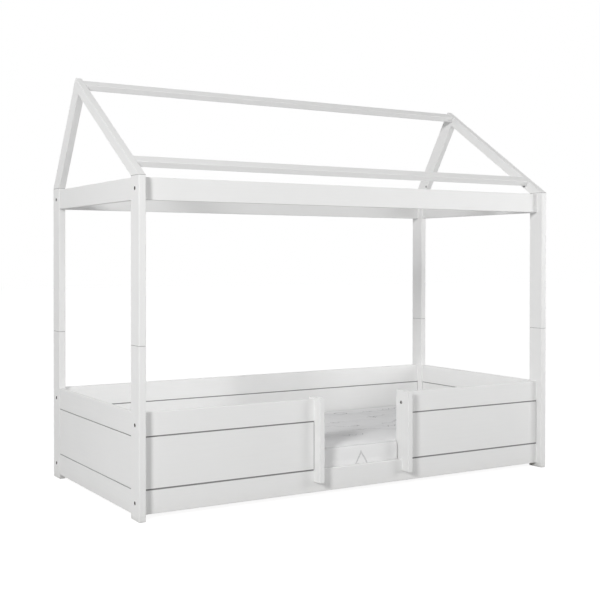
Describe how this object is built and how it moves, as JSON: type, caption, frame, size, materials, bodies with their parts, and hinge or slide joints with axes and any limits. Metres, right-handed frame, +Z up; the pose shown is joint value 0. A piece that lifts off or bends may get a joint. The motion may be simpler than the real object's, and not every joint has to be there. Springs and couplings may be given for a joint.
{
  "type": "house frame bed",
  "caption": "Low single child's bed in white lacquered boards: panelled ends and guards with an entrance gap, corner posts and an uneven pitched house roof frame.",
  "frame": {"origin": "middle of the footprint, on the floor; the footprint runs from the front of the entrance posts to the rear of the corner posts", "axes": "+X along the bed, +Y from the entrance side to the rear side, +Z up"},
  "size_m": [2.07, 1.016, 1.766],
  "materials": {
    "white_lacquer": "satin white lacquer",
    "slat_wood": "planed, unfinished",
    "dowel_wood": "fluted beech",
    "bolt_steel": "zinc plated",
    "nut_steel": "zinc plated",
    "glide_plastic": "matt white",
    "plug_plastic": "matt grey",
    "mattress_cover": null
  },
  "bodies": {
    "frame": {"back_bottom_rail": "white_lacquer", "back_panel": "white_lacquer", "back_top_rail": "white_lacquer", "barrel_nuts": "nut_steel", "corner_bolts": "bolt_steel", "end_left_bottom_rail": "white_lacquer", "end_left_panel": "white_lacquer", "end_left_top_rail": "white_lacquer", "end_right_bottom_rail": "white_lacquer", "end_right_panel": "white_lacquer", "end_right_top_rail": "white_lacquer", "entrance_post_left": "white_lacquer", "entrance_post_right": "white_lacquer", "foot_left_front": "glide_plastic", "foot_left_rear": "glide_plastic", "foot_right_front": "glide_plastic", "foot_right_rear": "glide_plastic", "front_bottom_rail": "white_lacquer", "front_purlin": "white_lacquer", "guard_left_panel": "white_lacquer", "guard_left_top_rail": "white_lacquer", "guard_right_panel": "white_lacquer", "guard_right_top_rail": "white_lacquer", "lower_post_left_front": "white_lacquer", "lower_post_left_rear": "white_lacquer", "lower_post_right_front": "white_lacquer", "lower_post_right_rear": "white_lacquer", "post_pins": "dowel_wood", "rafter_left_front": "white_lacquer", "rafter_left_rear": "white_lacquer", "rafter_plugs": "plug_plastic", "rafter_right_front": "white_lacquer", "rafter_right_rear": "white_lacquer", "ridge_bar": "white_lacquer", "slat_01": "slat_wood", "slat_02": "slat_wood", "slat_03": "slat_wood", "slat_04": "slat_wood", "slat_05": "slat_wood", "slat_06": "slat_wood", "slat_07": "slat_wood", "slat_08": "slat_wood", "slat_09": "slat_wood", "slat_10": "slat_wood", "slat_11": "slat_wood", "slat_12": "slat_wood", "slat_13": "slat_wood", "slat_batten_back": "slat_wood", "slat_batten_front": "slat_wood", "slat_screws": "bolt_steel", "upper_back_rail": "white_lacquer", "upper_front_rail": "white_lacquer", "upper_left_rail": "white_lacquer", "upper_post_left_front": "white_lacquer", "upper_post_left_rear": "white_lacquer", "upper_post_right_front": "white_lacquer", "upper_post_right_rear": "white_lacquer", "upper_right_rail": "white_lacquer", "wood_dowels": "dowel_wood"},
    "mattress": {"mattress": "mattress_cover"}
  },
  "joints": [
    {"name": "lift_out", "type": "slide", "parent": "frame", "child": "mattress", "axis": [0, 0, 1], "range_m": [0, 0.35]}
  ]
}
